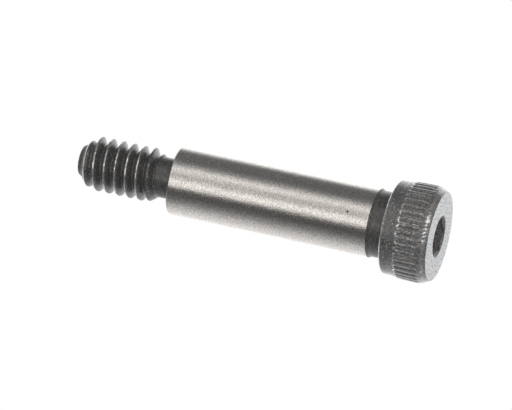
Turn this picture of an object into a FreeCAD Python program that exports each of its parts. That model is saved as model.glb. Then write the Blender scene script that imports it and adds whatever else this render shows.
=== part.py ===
import FreeCAD, Part
import math
import os

# Shoulder bolt with a knurled round head and a hexagon socket, one piece of steel.
# It stands on its head: z = 0 is the flat face of the head, and +Z runs up the axis to the thread's tip.
# Driving dimensions, in millimetres and degrees.

# head
head_height = 5.45
head_face_diameter = 10.04         # the flat that it stands on
head_crown_height = 1.45           # the rounded edge round that flat
head_knurl_diameter = 11.11        # over the knurl's ridges
head_band_diameter = 10.62         # the plain band next to the bearing face
head_band_width = 1.1
head_step_width = 0.63             # the slope from the band up to the knurl
head_bearing_radius = 0.3          # the rounded corner of the bearing face

# knurl: straight V grooves that slope out at both ends, rolled into the head
knurl_pitch = 0.85                 # round the head, from one groove to the next
knurl_groove_depth = 0.25
knurl_groove_angle = 90.0
knurl_end_slope = 45.0             # of a groove's ends, from the axis
knurl_end_gap = 0.06               # from a groove's ends to the crown and to the slope by the band

# hexagon socket, as a pointed punch leaves it
socket_across_flats = 3.97
socket_depth = 3.0
socket_point_angle = 118.0         # the punch's point
socket_entry_diameter = 4.76       # the chamfer that leads the key in
socket_entry_angle = 30.0          # of that chamfer, from the face
socket_turn = 8.0                  # of a corner, from the X axis

# neck under the head
neck_diameter = 7.5
neck_width = 1.9
neck_corner = 0.25                 # the cone in the corner with the bearing face
neck_flank_width = 0.28            # the slope from the neck up to the shoulder

# shoulder
shoulder_diameter = 7.86
shoulder_length = 25.4             # from the bearing face to the seat by the thread, neck included
shoulder_seat_chamfer = 0.16

# thread: one start, right hand
thread_major_diameter = 6.2
thread_pitch = 1.27
thread_flank_angle = 60.0
thread_section_length = 11.3
thread_crest_height = 3.05         # of a crest on the +X side, above the seat
thread_relief_width = 1.7          # the plain neck between the seat and the thread
thread_relief_undercut = 0.03      # of that neck, below the thread's roots
thread_relief_corner = 0.25        # the cone in the corner with the seat
thread_run_out = 1.1               # over which the crests grow out of that neck
tip_face_diameter = 3.0
tip_end_diameter = 4.5             # where the steep end meets the longer lead-in cone
tip_end_length = 0.8
tip_lead_length = 1.3              # of the lead-in cone

# heights on the axis
knurl_end = head_height - head_band_width - head_step_width
neck_end = head_height + neck_width
seat = head_height + shoulder_length
relief_end = seat + thread_relief_width
tip = seat + thread_section_length

# radii
face_radius = head_face_diameter / 2
knurl_radius = head_knurl_diameter / 2
band_radius = head_band_diameter / 2
neck_radius = neck_diameter / 2
shoulder_radius = shoulder_diameter / 2
major_radius = thread_major_diameter / 2

# The thread's form is a sharp V that loses an eighth of its height at the crest and a sixth at the root.
half_flank = math.radians(thread_flank_angle / 2)
sharp_height = thread_pitch / 2 / math.tan(half_flank)
sharp_crest_radius = major_radius + sharp_height / 8
sharp_root_radius = sharp_crest_radius - sharp_height
root_radius = sharp_root_radius + sharp_height / 6
relief_radius = root_radius - thread_relief_undercut

origin = FreeCAD.Vector(0, 0, 0)
axis = FreeCAD.Vector(0, 0, 1)
overshoot = 1.0                    # how far a cutting tool stands out of the surface that it starts from


def at(radius, height):
    return FreeCAD.Vector(radius, 0, height)


def arc(center, radius, start, end):
    """An arc in the XZ plane, its angles counted from +X towards +Z."""
    turns = [math.radians(angle) for angle in (start, (start + end) / 2, end)]
    return Part.Arc(*[center + at(radius * math.cos(turn), radius * math.sin(turn)) for turn in turns])


def turned(*steps):
    """A solid turned from a half profile: points and arcs in their order, joined by straight lines."""
    edges = []
    for step, following in zip(steps, steps[1:] + steps[:1]):
        end = step
        if isinstance(step, Part.Arc):
            edges.append(step.toShape())
            end = step.EndPoint
        start = following.StartPoint if isinstance(following, Part.Arc) else following
        edges.append(Part.LineSegment(end, start).toShape())
    return Part.Face(Part.Wire(edges)).revolve(origin, axis, 360)


def plain_bolt():
    """The bolt before its knurl, socket and thread: everything that is round about the axis."""
    crown_drop = knurl_radius - face_radius
    crown_radius = (head_crown_height**2 + crown_drop**2) / (2 * crown_drop)
    crown_center = at(knurl_radius - crown_radius, head_crown_height)
    crown_start = -math.degrees(math.atan2(head_crown_height, crown_radius - crown_drop))
    bearing_center = at(band_radius - head_bearing_radius, head_height - head_bearing_radius)
    return turned(
        origin,
        arc(crown_center, crown_radius, crown_start, 0),
        at(knurl_radius, knurl_end),
        at(band_radius, knurl_end + head_step_width),
        arc(bearing_center, head_bearing_radius, 0, 90),
        at(neck_radius + neck_corner, head_height),
        at(neck_radius, head_height + neck_corner),
        at(neck_radius, neck_end - neck_flank_width),
        at(shoulder_radius, neck_end),
        at(shoulder_radius, seat - shoulder_seat_chamfer),
        at(shoulder_radius - shoulder_seat_chamfer, seat),
        at(relief_radius + thread_relief_corner, seat),
        at(relief_radius, seat + thread_relief_corner),
        at(relief_radius, relief_end),
        at(major_radius, relief_end + thread_run_out),
        at(major_radius, tip - tip_end_length - tip_lead_length),
        at(tip_end_diameter / 2, tip - tip_end_length),
        at(tip_face_diameter / 2, tip),
        at(0, tip),
    )


def knurl_grooves():
    """Evenly spaced V grooves. Each is a V along the axis, common to a trapezoid that slopes out at its ends."""
    bottom = knurl_radius - knurl_groove_depth
    outside = knurl_radius + overshoot
    half_width = (outside - bottom) * math.tan(math.radians(knurl_groove_angle / 2))
    end_slope = math.tan(math.radians(knurl_end_slope))
    end_run = knurl_end_gap + knurl_groove_depth / end_slope
    low = head_crown_height + end_run
    high = knurl_end - end_run
    beyond = (outside - bottom) / end_slope
    v_face = Part.Face(Part.makePolygon([
        at(bottom, 0),
        FreeCAD.Vector(outside, half_width, 0),
        FreeCAD.Vector(outside, -half_width, 0),
        at(bottom, 0),
    ]))
    trapezoid_face = Part.Face(Part.makePolygon([
        at(bottom, low),
        at(bottom, high),
        at(outside, high + beyond),
        at(outside, low - beyond),
        at(bottom, low),
    ]))
    wider = half_width + overshoot
    trapezoid_face.translate(FreeCAD.Vector(0, -wider, 0))
    trapezoid = trapezoid_face.extrude(FreeCAD.Vector(0, 2 * wider, 0))
    groove = v_face.extrude(axis * head_height).common(trapezoid)

    count = round(2 * math.pi * knurl_radius / knurl_pitch)
    grooves = []
    for number in range(count):
        copy = groove.copy()
        copy.rotate(origin, axis, number * 360 / count)
        grooves.append(copy)
    return grooves


def hexagon_socket():
    """A hexagon bar with a turned point, and the cone of the chamfer round its mouth."""
    corner_radius = socket_across_flats / math.sqrt(3)
    entry_radius = socket_entry_diameter / 2
    point_height = entry_radius / math.tan(math.radians(socket_point_angle / 2))
    turns = [math.radians(socket_turn + 60 * corner) for corner in range(7)]
    corners = [
        FreeCAD.Vector(corner_radius * math.cos(turn), corner_radius * math.sin(turn), -overshoot)
        for turn in turns
    ]
    bar_length = overshoot + socket_depth + point_height
    bar = Part.Face(Part.makePolygon(corners)).extrude(axis * bar_length)
    point = turned(
        at(0, -overshoot),
        at(entry_radius, -overshoot),
        at(entry_radius, socket_depth),
        at(0, socket_depth + point_height),
    )
    entry_slope = math.tan(math.radians(socket_entry_angle))
    entry = turned(
        at(0, -overshoot),
        at(entry_radius + overshoot / entry_slope, -overshoot),
        at(0, entry_radius * entry_slope),
    )
    return bar.common(point).fuse(entry)


def thread_space():
    """What the thread rolls leave empty between its crests: a sleeve less a ridge wound round the axis."""
    def half_ridge(radius):
        return (sharp_crest_radius - radius) * math.tan(half_flank)

    inner = sharp_root_radius + sharp_height / 16
    outer = sharp_crest_radius - sharp_height / 16
    ridge_profile = Part.makePolygon([
        at(inner, -half_ridge(inner)),
        at(outer, -half_ridge(outer)),
        at(outer, half_ridge(outer)),
        at(inner, half_ridge(inner)),
        at(inner, -half_ridge(inner)),
    ])
    low = seat + thread_relief_width / 2
    high = tip + thread_pitch
    helix = Part.makeLongHelix(thread_pitch, high - low + 2 * thread_pitch, major_radius)
    ridge = Part.Wire(helix.Edges).makePipeShell([ridge_profile], True, True)

    # The ridge starts a pitch below the sleeve, turned so that it passes the given crest on the +X side.
    start = low - thread_pitch
    ridge.rotate(origin, axis, 360 * (start - seat - thread_crest_height) / thread_pitch)
    ridge.translate(at(0, start))
    sleeve_radius = major_radius + sharp_height / 32
    sleeve = turned(at(root_radius, low), at(sleeve_radius, low), at(sleeve_radius, high), at(root_radius, high))
    return sleeve.cut(ridge)


def shoulder_bolt():
    head_cuts = knurl_grooves() + [hexagon_socket()]
    return plain_bolt().cut(head_cuts).cut(thread_space()).Solids[0]


os.makedirs("parts", exist_ok=True)
shoulder_bolt().exportStep("parts/shoulder_bolt.step")
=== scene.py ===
import math
import bmesh
import bpy
import numpy as np
from mathutils import Matrix, Vector


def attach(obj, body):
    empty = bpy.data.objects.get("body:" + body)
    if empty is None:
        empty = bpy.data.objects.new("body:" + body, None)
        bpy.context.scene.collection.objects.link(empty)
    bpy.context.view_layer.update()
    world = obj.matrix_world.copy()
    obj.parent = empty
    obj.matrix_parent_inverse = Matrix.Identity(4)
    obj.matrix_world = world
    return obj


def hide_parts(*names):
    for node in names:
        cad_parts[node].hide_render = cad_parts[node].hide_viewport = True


# Socket head shoulder bolt: a steel blank, cold headed, turned and thread rolled, then blackened with hot
# oxide, and last the shoulder ground bright. It stands on its head, with the thread's tip up.

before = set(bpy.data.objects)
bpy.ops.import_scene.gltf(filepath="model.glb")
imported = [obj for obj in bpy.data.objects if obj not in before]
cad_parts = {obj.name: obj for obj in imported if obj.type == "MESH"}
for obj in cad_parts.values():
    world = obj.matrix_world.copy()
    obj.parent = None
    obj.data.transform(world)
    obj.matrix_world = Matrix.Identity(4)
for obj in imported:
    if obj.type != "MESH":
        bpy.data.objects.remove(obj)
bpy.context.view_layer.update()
print("frame loaded", len(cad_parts), "node")

mm = 0.001

# the bolt, in millimetres, with heights from the head's flat end
bolt = {
    "columns": 246,          # round the axis; divisible by the hexagon's 6 sides
    "headColumns": 492,      # twice as many where the knurl is, 12 to a groove
    "columnStart": 8.0,      # degrees from +X, a corner of the hexagon
    "headHeight": 5.45,
    "seat": 30.85,
    "tip": 42.15,
}

# the finishes, in the order of the bolt's material slots
finishes = ["ground", "headed", "face", "turned", "rolled", "sheared"]
ground, headed, face, turned, rolled, sheared = range(len(finishes))


def roundedProfile(corners, longest, steps=5, edge=0.02):
    # A profile through corners of (radius, height, rounding). Each rounding is an arc that touches both lines
    # of its corner, with a point a hair outside each end of it, and runs longer than "longest" are divided.
    points = [np.array(corners[0][:2], float)]
    for before, here, after in zip(corners, corners[1:], corners[2:]):
        corner = np.array(here[:2], float)
        inward = np.array(before[:2]) - corner
        outward = np.array(after[:2]) - corner
        inward /= np.linalg.norm(inward)
        outward /= np.linalg.norm(outward)
        half = math.acos(np.clip(inward @ outward, -1, 1)) / 2
        reach = here[2] / math.tan(half)
        bisector = (inward + outward) / np.linalg.norm(inward + outward)
        centre = corner + bisector * here[2] / math.sin(half)
        start = corner + inward * reach - centre
        end = corner + outward * reach - centre
        turn = np.linspace(0, 1, steps + 1)[:, None]
        arc = start * (1 - turn) + end * turn
        arc = centre + arc / np.linalg.norm(arc, axis=1, keepdims=True) * here[2]
        points += [corner + inward * (reach + edge), *arc, corner + outward * (reach + edge)]
    points.append(np.array(corners[-1][:2], float))
    points = np.array(points)
    rows = [points[:1]]
    for a, b in zip(points, points[1:]):
        count = max(1, math.ceil(np.linalg.norm(b - a) / longest))
        rows.append(a + (b - a) * np.linspace(0, 1, count + 1)[1:, None])
    return np.concatenate(rows)


def ripple(angle, seed, low, high, waves=7):
    # A smooth unevenness round the axis: the sum of a few sines, each with a whole number of waves between low
    # and high and a phase of its own, both drawn from a fixed seed.
    rng = np.random.default_rng(seed)
    counts = rng.integers(low, high + 1, waves)
    phases = rng.uniform(0, 2 * np.pi, waves)
    return sum(np.sin(count * angle + phase) for count, phase in zip(counts, phases)) / math.sqrt(waves)


def bell(value, middle, width):
    # 1 at the middle, and a little over a third at a width to either side
    return np.exp(-((value - middle) / width) ** 2)


def columnAngles(count):
    # equal steps round the axis, from the first column's angle
    return np.radians(bolt["columnStart"]) + 2 * np.pi * np.arange(count) / count


def revolved(radius, height, angle):
    # Points from radius and height on a grid of rows and columns, where the columns go round the axis.
    radius, height, angle = np.broadcast_arrays(radius, height, angle)
    return np.stack([radius * np.cos(angle), radius * np.sin(angle), height], axis=-1)


socket = {
    "acrossFlats": 3.97,
    "cornerRadius": 2.29,    # half across corners, for the very end of the point
    "depth": 3.0,
    "entryRadius": 2.38,
    "entryAngle": 30.0,
    "pointAngle": 118.0,
    "mouth": 0.22,           # how deep the matt finish of the chamfer goes
    "scuff": 0.18,           # wear by the key
    "scuffFrom": 0.3,        # its depth from the flat end
    # rows of the point, the walls and the chamfer as shares of each, and of the flat end as radii
    "pointRows": [0.02, 0.25, 0.5, 0.75, 0.97, 1.0],
    "wallRows": [0.01, 0.03, 0.1, 0.25, 0.4, 0.55, 0.7, 0.85, 0.95, 0.985, 1.0],
    "entryRows": [0.12, 0.5, 0.88, 1.0],
    "faceRows": [2.41, 2.6, 3.1, 3.7, 4.3, 4.7, 4.9],
}


def socketGrid():
    # From the point at the bottom of the hexagon out over the flat end. The distance to the hexagon's flats is
    # half across flats over the cosine of the angle from that flat's middle. The walls start where the point's
    # cone meets them and end where the chamfer's cone meets them, so both ends are scalloped.
    angle = columnAngles(bolt["columns"])
    fromCorner = (angle - np.radians(bolt["columnStart"])) % (np.pi / 3)
    wall = socket["acrossFlats"] / 2 / np.cos(fromCorner - np.pi / 6)
    pointSlope = math.tan(math.radians(socket["pointAngle"] / 2))
    entrySlope = math.tan(math.radians(socket["entryAngle"]))
    bottom = socket["depth"] + (socket["entryRadius"] - wall) / pointSlope
    mouth = (socket["entryRadius"] - wall) * entrySlope
    share, down, out, radii = (
        np.array(socket[rows])[:, None] for rows in ("pointRows", "wallRows", "entryRows", "faceRows"))
    grid = np.concatenate([
        revolved(wall * share, bottom + wall * (1 - share) / pointSlope, angle),
        revolved(wall, bottom + (mouth - bottom) * down, angle),
        revolved(wall + (socket["entryRadius"] - wall) * out, mouth * (1 - out), angle),
        revolved(radii, 0, angle)])
    apex = grid[0, 0, 2] + share[0, 0] * socket["cornerRadius"] / pointSlope
    wear = socket["scuff"] * (grid[:, :, 2] > socket["scuffFrom"])
    atMouth = grid[1:, :, 2].max(axis=1) < socket["mouth"]
    slots = np.where(grid[:-1, 0, 2] < 1e-6, face, np.where(atMouth, sheared, headed))
    return grid, wear, slots, apex


knurl = {
    "radius": 5.55,          # over the ridges
    "grooves": 41,
    "depth": 0.13,
    "halfWidth": 0.27,
    "high": 3.4,             # where the round end by the plain band has its centre
    "low": 1.2,              # where the groove runs out over the crown
    "lowFade": 0.6,          # how fast it does; 1 would make a round end
    "softness": 0.02,        # of the groove's edge
    "unevenness": [0.03, 0.06, 0.08, 0.05],          # of high, low, depth and width, from groove to groove
    "waver": [(0.02, 9, 2.1), (0.015, 23, 4.7)],     # size, waves along the groove, shift to the next
    "edgeWear": 0.4,
    "endWear": 0.6,
}

head = {
    # radius, height and rounding of each corner, from the flat end to the bearing face
    "profile": [
        (4.96, 0.0, 0), (5.02, 0.0, 0.03), (5.385, 0.58, 1.2), (5.54, 1.25, 2.5), (knurl["radius"], 1.9, 4.0),
        (5.50, 3.4, 1.5), (5.31, 4.4, 0.8), (5.31, bolt["headHeight"], 0.28), (4.95, bolt["headHeight"], 0)],
    "rowLength": 0.14,
    "crownLump": 0.012,
    # where the edges are rubbed bright: the crown most on one side, and the bearing edge evenly
    "crownWear": {"height": 0.43, "width": 0.2, "angle": 282.0, "spread": 0.45, "least": 0.25},
    "bearingWear": {"height": 5.36, "width": 0.09, "inner": 5.1, "amount": 0.6},
}


def headGrid():
    # The head's side: its profile with the knurl's grooves pressed in. A groove's depth falls off with the
    # distance from a straight line along it, so its ends are round.
    profile = roundedProfile(head["profile"], head["rowLength"])
    radius, height = profile[:, :1], profile[:, 1:]
    angle = columnAngles(bolt["headColumns"])
    count = knurl["grooves"]
    turn = (angle - angle[0]) * count / (2 * np.pi)
    number = np.round(turn).astype(int) % count
    across = (turn - np.round(turn)) * 2 * np.pi / count * knurl["radius"]
    rng = np.random.default_rng(5)
    uneven = [rng.normal(0, amount, count)[number] for amount in knurl["unevenness"]]
    high = knurl["high"] + uneven[0]
    low = knurl["low"] + uneven[1]
    depth = knurl["depth"] * (1 + uneven[2])
    wide = knurl["halfWidth"] * (1 + uneven[3])

    waver = sum(size * np.sin(height * rate + number * shift) for size, rate, shift in knurl["waver"])
    beyond = np.maximum(0, np.maximum(height - high, (low - height) * knurl["lowFade"]))
    distance = np.hypot(across + waver, beyond) / wide
    inside = 0.5 * (1 - distance + np.sqrt((1 - distance) ** 2 + knurl["softness"]))
    groove = depth * inside / (0.5 * (1 + math.sqrt(1 + knurl["softness"])))
    side = np.clip((height - 0.6) / 0.5, 0, 1) * (height < 4.3)
    sunk = radius - groove * side

    # the crown is a little lumpy, as the die leaves it
    crown = np.clip(1 - np.abs(height - 0.5) / 0.45, 0, 1)
    sunk = sunk - head["crownLump"] * crown * (1 + ripple(angle + height * 0.3, 11, 14, 60) * 0.5)

    # the grooves' edges are worn in flecks, and most at the round ends
    cap = np.clip((height - high) / 0.15, 0, 1)
    fleck = np.clip(0.3 + 0.9 * ripple(angle + 0.05 * height, 31, 60, 200) * np.cos(height * 7 + number), 0, 1)
    edge = bell(distance, 0.95, 0.3) * side * np.maximum(
        knurl["edgeWear"] * fleck, cap * (knurl["endWear"] + 0.5 * fleck))
    worn = head["crownWear"]
    rubbed = worn["least"] + (1 - worn["least"]) * bell(angle, math.radians(worn["angle"]), worn["spread"])
    rim = rubbed * bell(height, worn["height"], worn["width"]) * np.clip(
        1.1 + 1.8 * ripple(angle + 0.1 * height, 21, 40, 130) + 0.7 * ripple(angle, 22, 6, 25), 0, 1)
    worn = head["bearingWear"]
    bearing = bell(height, worn["height"], worn["width"]) * (radius > worn["inner"]) * worn["amount"]
    return revolved(sunk, height, angle), np.clip(edge + rim + bearing, 0, 1)


thread = {
    "majorRadius": 3.095,
    "pitch": 1.27,
    "flankAngle": 30.0,      # from the radius
    "crestHeight": 3.05,     # of a crest on the +X side, above the seat
    "crestSink": 0.012,      # how much lower the crests are than the major radius, and how much that varies
    "crestRipple": 0.010,
    "crestSoftness": 0.03,
    "reliefEnd": 1.7,        # of the plain neck before the thread, above the seat
    "reliefRadius": 2.295,
    "runOut": 1.1,           # where the crests grow out of that neck
    "leadLength": 1.24,      # where the crests fade towards the tip
    "leadEnd": 0.7,          # from the tip
    "endLength": 0.5,        # the plain end, and the slope of the step from it up to the thread
    "endRadius": 1.9,
    "endSlope": 1.36,
    "endFinish": 0.78,       # from the tip; the rolls haven't touched it
    "tipRadius": 1.6,
    "tipRounding": 0.3,
    "closing": 0.15,         # over which both ends of the spiral close onto the neck and the step
    "wear": 1.4,
    "wearWidth": 0.05,
    # rows over one pitch, as distances from the crest's middle
    "rows": [0, 0.045, 0.085, 0.15, 0.29, 0.43, 0.515, 0.575,
             0.635, 0.695, 0.755, 0.84, 0.98, 1.12, 1.185, 1.225],
}

shank = {
    "neckRadius": 3.75,
    "neckEnd": 7.39,
    "neckFlank": 0.3,        # the slope from the neck up to the shoulder
    "radius": 3.93,
    "seatChamfer": 0.16,
    "rowLength": 1.5,
}


def shankGrid():
    # Bearing face, neck, shoulder and seat, down to the plain neck before the thread, as one revolved profile.
    seat, neck, radius, relief = bolt["seat"], shank["neckRadius"], shank["radius"], thread["reliefRadius"]
    profile = roundedProfile([
        (4.85, bolt["headHeight"], 0),
        (neck, bolt["headHeight"], 0.25),
        (neck, shank["neckEnd"] - shank["neckFlank"], 0.12),
        (radius, shank["neckEnd"], 0.04),
        (radius, seat - shank["seatChamfer"], 0.04),
        (radius - shank["seatChamfer"], seat, 0.04),
        (relief, seat, 0.25),
        (relief, seat + thread["reliefEnd"], 0),
    ], shank["rowLength"])
    middle = (profile[:-1, 1] + profile[1:, 1]) / 2
    onShoulder = (middle > shank["neckEnd"]) & (middle < seat - 0.15)
    slots = np.where(onShoulder, ground, turned)
    return revolved(profile[:, :1], profile[:, 1:], columnAngles(bolt["columns"])), slots


def threadGrid():
    # The rows follow the helix. The radius is the lower of a sharp V with a round root and an envelope: it grows
    # out of the relief neck, is flat at the major diameter, and falls along the step to the plain end.
    seat, tip, pitch = bolt["seat"], bolt["tip"], thread["pitch"]
    major, relief = thread["majorRadius"], thread["reliefRadius"]
    low = seat + thread["reliefEnd"]
    high = tip - thread["endLength"]
    angle = columnAngles(bolt["columns"])
    turns = math.ceil((high - low) / pitch) + 4
    first = math.floor((low - seat - thread["crestHeight"]) / pitch) - 1
    rowHeight = (np.arange(first, first + turns)[:, None] * pitch + np.array(thread["rows"])).reshape(-1, 1)
    height = seat + thread["crestHeight"] + rowHeight + pitch * angle / (2 * np.pi)
    wound = 2 * np.pi * (height - seat) / pitch      # for unevenness that runs along the helix
    height = np.clip(height, low, high)

    # the V: straight flanks down from the sharp crest, and an arc at the root
    phase = (height - seat - thread["crestHeight"]) / pitch - angle / (2 * np.pi)
    away = np.abs(phase - np.round(phase)) * pitch
    flankTurn = math.radians(thread["flankAngle"])
    sharp = pitch / 2 / math.tan(flankTurn)
    crest = major + sharp / 8
    rootRound = sharp / 8
    flank = crest - away / math.tan(flankTurn)
    fromRoot = pitch / 2 - away
    centre = crest - sharp + 2 * rootRound
    root = centre - np.sqrt(np.maximum(rootRound ** 2 - fromRoot ** 2, 0))
    vee = np.where(fromRoot < rootRound * math.cos(flankTurn), root, flank)

    grown = relief + (major - relief) * (height - low) / thread["runOut"]
    step = thread["endRadius"] + (high - height) * thread["endSlope"]
    top = major - thread["crestSink"] - thread["crestRipple"] * ripple(wound / 7, 3, 9, 60)
    # near the tip the rolls fill the crests less and less, and the step to the plain end cuts them off
    filled = np.clip((tip - thread["leadEnd"] - height) / thread["leadLength"], 0, 1) ** 0.7
    bottom = crest - sharp + rootRound
    vee = bottom + (np.minimum(vee, top + 0.1) - bottom) * filled
    envelope = np.minimum(np.minimum(grown, step), top)
    radius = (vee + envelope - np.sqrt((vee - envelope) ** 2 + thread["crestSoftness"] ** 2)) / 2
    radius = relief + (radius - relief) * np.clip((height - low) / thread["closing"], 0, 1)
    radius = step + (radius - step) * np.clip((high - height) / thread["closing"], 0, 1)

    # the crests are worn in a broken line, but not in the run-out or at the plain end
    broken = np.clip(0.75 + 0.6 * ripple(wound / 7, 8, 40, 160), 0.15, 1)
    wear = thread["wear"] * bell(away, 0, thread["wearWidth"]) * broken * np.clip((height - low - 1.5) / 0.6, 0, 1)
    wear = wear * (0.4 + 0.6 * filled) * (high - height > 0.25)
    atEnd = height[1:-len(thread["rows"])] > tip - thread["endFinish"]
    return revolved(radius, height, angle), wear, np.where(atEnd, sheared, rolled)


def tipGrid():
    # The plain end and its flat, with a round edge between, as one revolved profile.
    profile = roundedProfile([
        (thread["endRadius"], bolt["tip"] - thread["endLength"], 0),
        (thread["tipRadius"], bolt["tip"], thread["tipRounding"]),
        (0.05, bolt["tip"], 0),
    ], 0.3)
    # a row close to the step keeps the shading there crisp
    profile = np.insert(profile, 1, profile[0] * 0.9 + profile[1] * 0.1, axis=0)
    return revolved(profile[:, :1], profile[:, 1:], columnAngles(bolt["columns"]))


def gridFaces(first, rows, columns, wrap=0):
    # Quads of a grid that closes round the axis. With wrap, the last column joins the first one that many
    # rows further on.
    row, column = np.meshgrid(np.arange(rows - 1 - wrap), np.arange(columns), indexing="ij")
    here = first + row * columns + column
    following = np.where(column < columns - 1, here + 1, first + (row + wrap) * columns)
    return np.stack([here, following, following + columns, here + columns], axis=-1).reshape(-1, 4)


def seamFaces(coarse, fine, count, outward):
    # Five-sided faces between a ring of count points and one of twice as many.
    j = np.arange(count)
    k = (j + 1) % count
    ring = np.stack([coarse + j, coarse + k, fine + 2 * k, fine + 2 * j + 1, fine + 2 * j], axis=-1)
    return ring if outward else ring[:, ::-1]


def fanFaces(ring, pole, count, outward):
    # Triangles from a ring of count points to its pole.
    j = np.arange(count)
    fan = np.stack([ring + j, ring + (j + 1) % count, np.full(count, pole)], axis=-1)
    return fan if outward else fan[:, ::-1]


def makeBolt():
    # The five grids from the socket's point to the tip, with a seam at each end of the head's finer grid and
    # a fan at each pole. Where one grid ends on the first ring of the next, the points are merged.
    inner, innerWear, innerSlots, apex = socketGrid()
    side, sideWear = headGrid()
    body, bodySlots = shankGrid()
    spiral, spiralWear, spiralSlots = threadGrid()
    points, wear, faces, slots, rings = [], [], [], [], []
    first = 0
    for grid, gridWear, slot, wrap in [
        (inner, innerWear, innerSlots[:, None], 0),
        (side, sideWear, headed, 0),
        (body, 0.0, bodySlots[:, None], 0),
        (spiral, spiralWear, spiralSlots, len(thread["rows"])),
        (tipGrid(), 0.0, sheared, 0),
    ]:
        rows, columns = grid.shape[:2]
        points.append(grid.reshape(-1, 3))
        wear.append(np.broadcast_to(gridWear, (rows, columns)).reshape(-1))
        faces += gridFaces(first, rows, columns, wrap).tolist()
        slots.append(np.broadcast_to(slot, (rows - 1 - wrap, columns)).reshape(-1))
        rings.append((first, first + (rows - 1) * columns))
        first += rows * columns

    points.append(np.array([[0.0, 0.0, apex], [0.0, 0.0, bolt["tip"]]]))
    wear.append(np.zeros(2))
    count = bolt["columns"]
    for part, slot in [
        (fanFaces(rings[0][0], first, count, False), headed),
        (fanFaces(rings[4][1], first + 1, count, True), sheared),
        (seamFaces(rings[0][1], rings[1][0], count, True), face),
        (seamFaces(rings[2][0], rings[1][1], count, False), headed),
    ]:
        faces += part.tolist()
        slots.append(np.full(len(part), slot))

    mesh = bpy.data.meshes.new("bolt")
    mesh.from_pydata(np.concatenate(points) * mm, [], faces)
    mesh.polygons.foreach_set("material_index", np.concatenate(slots).astype(np.int32))
    mesh.attributes.new("wear", "FLOAT", "POINT").data.foreach_set(
        "value", np.concatenate(wear).astype(np.float32))
    shape = bmesh.new()
    shape.from_mesh(mesh)
    bmesh.ops.remove_doubles(shape, verts=shape.verts, dist=1e-7)
    bmesh.ops.dissolve_degenerate(shape, edges=shape.edges, dist=1e-8)
    loose = [v for v in shape.verts if not v.link_faces]
    bmesh.ops.delete(shape, geom=loose, context="VERTS")
    opened = sum(not e.is_manifold for e in shape.edges)
    volume = shape.calc_volume(signed=True) / mm ** 3
    print(f"bolt: {len(shape.calc_loop_triangles())} triangles, {opened} open edges, {volume:.1f} cubic mm")
    shape.to_mesh(mesh)
    shape.free()
    mesh.shade_smooth()
    return bpy.data.objects.new("steel_bolt", mesh)


boltPiece = makeBolt()
bpy.context.scene.collection.objects.link(boltPiece)
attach(boltPiece, "root")
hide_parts("shoulder_bolt")


def hexColour(text):
    # sRGB hex to the linear colour that the shaders use
    srgb = np.array([int(text[i:i + 2], 16) for i in (1, 3, 5)]) / 255
    linear = np.where(srgb <= 0.04045, srgb / 12.92, ((srgb + 0.055) / 1.055) ** 2.4)
    return (*linear.tolist(), 1.0)


def addNode(tree, kind, inputs=None, **settings):
    # a node with its settings, and with each input either linked or set
    node = tree.nodes.new(kind)
    for name, value in settings.items():
        setattr(node, name, value)
    for key, value in (inputs or {}).items():
        if isinstance(value, bpy.types.NodeSocket):
            tree.links.new(value, node.inputs[key])
        else:
            node.inputs[key].default_value = value
    return node


def newMaterial(name):
    material = bpy.data.materials.new(name)
    material.use_nodes = True
    tree = material.node_tree
    tree.nodes.clear()
    return material, tree


def placeOn(tree):
    # the place on the object, for textures
    return addNode(tree, "ShaderNodeTexCoord").outputs["Object"]


def closeMaterial(tree, kind, inputs):
    # the last shader of a material, on the way to its output
    shader = addNode(tree, kind, inputs)
    addNode(tree, "ShaderNodeOutputMaterial", {"Surface": shader.outputs[0]})


def noise(tree, place, scale, detail):
    # noise with its scale in waves per metre: one number, or one for each axis
    if isinstance(scale, tuple):
        place = addNode(tree, "ShaderNodeMapping", {"Vector": place, "Scale": scale}).outputs["Vector"]
        scale = 1.0
    return addNode(tree, "ShaderNodeTexNoise", {"Vector": place, "Scale": scale, "Detail": detail}).outputs["Fac"]


def mapped(tree, value, low, high, start=0.0, end=1.0):
    # from start to end while the value goes from low to high, and level outside
    return addNode(tree, "ShaderNodeMapRange", {
        "Value": value, "From Min": low, "From Max": high, "To Min": start, "To Max": end}).outputs["Result"]


def blended(tree, factor, first, second):
    # the first colour where the factor is 0, the second where it is 1
    return addNode(tree, "ShaderNodeMix", {
        "Factor": factor, "A": first, "B": second}, data_type="RGBA").outputs["Result"]


def bumped(tree, height, strength, distance, **under):
    # the surface's normal with fine relief, on top of another one if it is given
    return addNode(tree, "ShaderNodeBump", {
        "Height": height, "Strength": strength, "Distance": distance, **under}).outputs["Normal"]


def reckoned(tree, operation, *values, **settings):
    # one step of arithmetic on sockets and numbers
    return addNode(tree, "ShaderNodeMath", dict(enumerate(values)), operation=operation, **settings).outputs[0]


# lengths in metres and scales in marks per metre, as the shaders measure
groundFinish = {
    "grain": (6000, 6000, 7600),     # about 0.15 mm apart, a little longer round the axis than along it
    "dark": "#B8B5B2",
    "light": "#F2EEEA",
    "rough": 0.25,
    "stretch": 0.7,                  # of the reflections, along the axis
    "waves": 900.0,                  # the wheel leaves it slightly wavy, so the reflections' edges are uneven
    "waveHeight": 0.00004,
    "markHeight": 0.00001,
    "nick": (0.00059, -0.00389, 0.00987),      # one nick near the head, with the shade in its hollow painted as a dark spot
    "nickShadeRadii": (0.00008, 0.00016),
    "nickShadeColour": "#3A3836",
}


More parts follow.
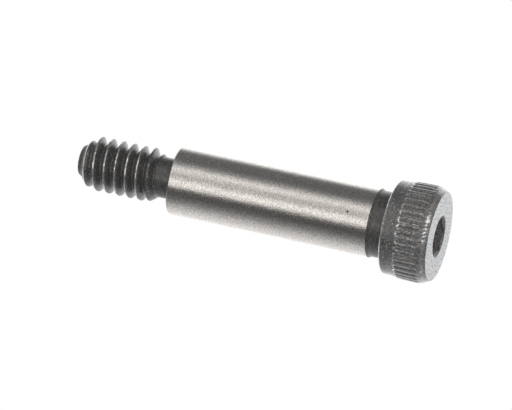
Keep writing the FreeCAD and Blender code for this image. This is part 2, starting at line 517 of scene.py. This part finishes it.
def groundSteel():
    # Alloy steel, ground between centres: a warm grey, with fine short marks round the axis that scatter light.
    made = groundFinish
    material, tree = newMaterial("ground_steel")
    place = placeOn(tree)
    marks = mapped(tree, noise(tree, place, made["grain"], 2.0), 0.3, 0.7)
    colour = blended(tree, marks, hexColour(made["dark"]), hexColour(made["light"]))
    wavy = bumped(tree, noise(tree, place, made["waves"], 1.0), 0.5, made["waveHeight"])
    normal = bumped(tree, marks, 0.5, made["markHeight"], Normal=wavy)
    # painted shade: a dark spot in the colour stands for the shade inside the nick
    away = addNode(tree, "ShaderNodeVectorMath", {0: place, 1: made["nick"]}, operation="DISTANCE")
    shadeInNick = mapped(tree, away.outputs["Value"], *made["nickShadeRadii"], 1.0, 0.0)
    colour = blended(tree, shadeInNick, colour, hexColour(made["nickShadeColour"]))
    tangent = addNode(tree, "ShaderNodeTangent", direction_type="RADIAL", axis="Z")
    closeMaterial(tree, "ShaderNodeBsdfPrincipled", {
        "Base Color": colour, "Metallic": 1.0, "Roughness": made["rough"], "Anisotropic": made["stretch"],
        "Anisotropic Rotation": 0.25, "Normal": normal, "Tangent": tangent.outputs["Tangent"]})
    return material


# grain is in marks per metre, round the axis and along it
oxides = {
    "headed": {                      # scaly from heading
        "grain": (5200, 5200), "dark": "#404041", "light": "#747475",
        "rough": 0.42, "coat": 0.7, "flakes": 0.3, "sheen": 1.0},
    "turned": {                      # the necks
        "grain": (2200, 5200), "dark": "#434343", "light": "#626262",
        "rough": 0.34, "coat": 0.1, "flakes": 0.12, "sheen": 0.15},
    "rolled": {                      # the smooth skin that the thread rolls leave
        "grain": (3000, 5000), "dark": "#444444", "light": "#5C5C5C",
        "rough": 0.36, "coat": 0.4, "flakes": 0.25, "sheen": 0.0},
    "sheared": {                     # the tip and the socket's mouth, matt
        "grain": (3000, 5000), "dark": "#3A3A3A", "light": "#565656",
        "rough": 0.5, "coat": 0.0, "flakes": 0.2, "sheen": 0.0},
}
bareSteel = {"colour": "#F4F1EE", "rough": 0.2}


def blackOxide(name):
    # Hot black oxide with oil on a steel surface with a grain of its own. Where the wear attribute is high it is
    # rubbed down to bright steel, and small flakes of it are gone.
    made = oxides[name]
    material, tree = newMaterial("black_oxide_" + name)
    place = placeOn(tree)
    around, along = made["grain"]
    marks = mapped(tree, noise(tree, place, (around, around, along), 2.0), 0.32, 0.68)
    wear = addNode(tree, "ShaderNodeAttribute", attribute_name="wear").outputs["Fac"]
    flaked = mapped(tree, noise(tree, place, 7000.0, 0.0), 0.66, 0.76, 0.0, made["flakes"])
    patchy = reckoned(tree, "MULTIPLY", reckoned(tree, "MAXIMUM", wear, flaked), marks)
    rubbed = reckoned(tree, "MULTIPLY", patchy, 2.4, use_clamp=True)
    black = blended(tree, marks, hexColour(made["dark"]), hexColour(made["light"]))
    closeMaterial(tree, "ShaderNodeBsdfPrincipled", {
        "Base Color": blended(tree, rubbed, black, hexColour(bareSteel["colour"])),
        "Metallic": rubbed,
        "Roughness": mapped(tree, wear, 0.0, 0.2, made["rough"], bareSteel["rough"]),
        "IOR": 1.6, "Coat Weight": made["coat"], "Coat Roughness": 0.25,
        "Sheen Weight": made["sheen"], "Sheen Roughness": 0.3,
        "Normal": bumped(tree, marks, 0.6, 0.00001)})
    return material


faceFinish = {
    "marks": 2400.0,
    "dark": "#36383C",
    "light": "#6E7176",
    "rough": 0.3,
    "oil": 0.8,
    "pits": 5200.0,                  # small pits hold dull oxide and no oil
    "pitColour": "#141416",
    "pitRough": 0.9,
}


def oiledFace():
    # The head's flat end: black oxide under a film of oil that shines at a low angle, a little grainy.
    made = faceFinish
    material, tree = newMaterial("oiled_face")
    place = placeOn(tree)
    marks = mapped(tree, noise(tree, place, made["marks"], 4.0), 0.36, 0.64)
    pits = mapped(tree, noise(tree, place, made["pits"], 1.0), 0.6, 0.67)
    colour = blended(tree, marks, hexColour(made["dark"]), hexColour(made["light"]))
    closeMaterial(tree, "ShaderNodeBsdfPrincipled", {
        "Base Color": blended(tree, pits, colour, hexColour(made["pitColour"])),
        "Metallic": 1.0,
        "Roughness": mapped(tree, pits, 0.0, 1.0, made["rough"], made["pitRough"]),
        "Coat Weight": mapped(tree, pits, 0.0, 1.0, made["oil"], 0.0),
        "Coat Roughness": 0.15,
        "Normal": bumped(tree, marks, 0.8, 0.00002)})
    return material


makers = {"ground": groundSteel, "face": oiledFace}
for name in finishes:
    boltPiece.data.materials.append(makers[name]() if name in makers else blackOxide(name))
print("finishes made")

# the studio, in metres
studio = {
    "tentSides": 96,
    "tentRadius": 0.45,
    "tentLow": -1.1,
    "tentHigh": 1.2,
    "tentStrength": 2.0,     # the brightest that a band can be
    # brightness of the tent's wall by the angle from the camera's side, in degrees, + towards -X
    "bands": [(-180, 1.5), (-138, 1.45), (-119, 0.3), (-110, 0.16), (-70, 0.16), (-58, 0.3), (-48, 0.65),
              (-38, 1.12), (-31, 0.95), (-20, 0.6), (-9, 0.65), (-3, 0.95), (3, 1.25), (12, 1.25), (20, 0.9),
              (27, 0.15), (36, 0.1), (52, 0.11), (64, 0.19), (80, 0.36), (100, 0.68), (125, 0.95), (140, 1.05),
              (180, 1.4)],
    "warmth": 0.045,         # of the bands on the camera's side, up to the angle
    "warmAngle": 50,
    "roofStrength": 0.3,
    "floorHalf": 1.5,
    "floorHeight": -0.0001,
    "floorColour": "#F4F3F1",
    "worldStrength": 1.0,
}


def tentAngles():
    return np.linspace(0, 2 * np.pi, studio["tentSides"], endpoint=False)


def makeTent():
    # A round wall about the bolt's axis, seen only in reflections and as light.
    rings = np.array([studio["tentLow"], studio["tentHigh"]])
    points = revolved(studio["tentRadius"], rings[:, None], tentAngles()).reshape(-1, 3)
    faces = gridFaces(0, 2, studio["tentSides"])[:, ::-1]
    mesh = bpy.data.meshes.new("tent")
    mesh.from_pydata(points, [], faces.tolist())
    tent = bpy.data.objects.new("tent", mesh)
    tent.visible_camera = False
    material, tree = newMaterial("tent_cloth")
    split = addNode(tree, "ShaderNodeSeparateXYZ", {"Vector": placeOn(tree)})
    minusX = reckoned(tree, "MULTIPLY", split.outputs["X"], -1.0)
    minusY = reckoned(tree, "MULTIPLY", split.outputs["Y"], -1.0)
    azimuth = reckoned(tree, "ARCTAN2", minusX, minusY)
    share = reckoned(tree, "MULTIPLY_ADD", azimuth, 1 / (2 * math.pi), 0.5)
    ramp = addNode(tree, "ShaderNodeValToRGB", {"Fac": share})
    stops = ramp.color_ramp.elements
    for index, (degrees, level) in enumerate(studio["bands"]):
        position = degrees / 360 + 0.5
        # the ramp comes with its first two stops
        stop = stops[index] if index < 2 else stops.new(position)
        stop.position = position
        warm = studio["warmth"] if abs(degrees) < studio["warmAngle"] else 0.0
        part = level / studio["tentStrength"]
        stop.color = (part, part * (1 - warm / 2), part * (1 - warm), 1)
    closeMaterial(tree, "ShaderNodeEmission", {
        "Color": ramp.outputs["Color"], "Strength": studio["tentStrength"]})
    mesh.materials.append(material)
    return tent


def makeRoof():
    # A dim lid on the tent, so that faces turned up stay dark.
    mesh = bpy.data.meshes.new("roof")
    points = revolved(studio["tentRadius"], studio["tentHigh"], tentAngles())
    mesh.from_pydata(points, [], [tuple(reversed(range(studio["tentSides"])))])
    roof = bpy.data.objects.new("roof", mesh)
    roof.visible_camera = False
    material, tree = newMaterial("roof_cloth")
    closeMaterial(tree, "ShaderNodeEmission", {"Color": (1, 1, 1, 1), "Strength": studio["roofStrength"]})
    mesh.materials.append(material)
    return roof


def makeFloor():
    # Pale and matt, seen from above only, so that the head's flat end is lit and seen from below.
    mesh = bpy.data.meshes.new("floor")
    half, height = studio["floorHalf"], studio["floorHeight"]
    corners = [(-half, -half, height), (half, -half, height), (half, half, height), (-half, half, height)]
    mesh.from_pydata(corners, [], [(0, 1, 2, 3)])
    material, tree = newMaterial("pale_floor")
    path = addNode(tree, "ShaderNodeLightPath")
    side = addNode(tree, "ShaderNodeNewGeometry")
    front = reckoned(tree, "SUBTRACT", 1.0, side.outputs["Backfacing"])
    seen = reckoned(tree, "MULTIPLY", path.outputs["Is Camera Ray"], front)
    clear = addNode(tree, "ShaderNodeBsdfTransparent")
    matt = addNode(tree, "ShaderNodeBsdfDiffuse", {"Color": hexColour(studio["floorColour"])})
    closeMaterial(tree, "ShaderNodeMixShader", {
        "Fac": seen, 1: clear.outputs["BSDF"], 2: matt.outputs["BSDF"]})
    mesh.materials.append(material)
    return bpy.data.objects.new("floor", mesh)


stage = [makeTent(), makeRoof(), makeFloor()]
for thing in stage:
    bpy.context.scene.collection.objects.link(thing)

world = bpy.data.worlds.new("studio")
bpy.context.scene.world = world
world.use_nodes = True
world.node_tree.nodes.clear()
background = addNode(world.node_tree, "ShaderNodeBackground", {
    "Color": (1, 1, 1, 1), "Strength": studio["worldStrength"]})
addNode(world.node_tree, "ShaderNodeOutputWorld", {"Surface": background.outputs["Background"]})

view = {
    "target": (-0.845, 0.0, 21.29),     # mm
    "distance": 800.0,
    "below": 14.72,                     # degrees under the horizon, so that the head's flat end shows
    "roll": 12.17,                      # degrees that the axis falls towards the head, in the picture
    "lens": 503.5,
    "sensor": 36.0,
    "nearest": 0.01,                    # m
    "farthest": 10,
}


def makeCamera():
    # The head points right in the picture and a little down: the camera lies on its side.
    below, roll = math.radians(view["below"]), math.radians(view["roll"])
    back = Vector((0, -math.cos(below), -math.sin(below)))
    along = Vector((0, 0, -1))
    along = (along - back * along.dot(back)).normalized()
    up = back.cross(along)
    right = along * math.cos(roll) + up * math.sin(roll)
    top = up * math.cos(roll) - along * math.sin(roll)
    place = Vector(view["target"]) * mm + back * view["distance"] * mm
    data = bpy.data.cameras.new("camera")
    data.lens = view["lens"]
    data.sensor_width = view["sensor"]
    data.clip_start, data.clip_end = view["nearest"], view["farthest"]
    camera = bpy.data.objects.new("camera", data)
    camera.matrix_world = Matrix.Translation(place) @ Matrix((right, top, back)).transposed().to_4x4()
    return camera


cameraObject = makeCamera()
bpy.context.scene.collection.objects.link(cameraObject)
bpy.context.scene.camera = cameraObject
bpy.context.scene.view_settings.view_transform = "Standard"
print("studio ready")
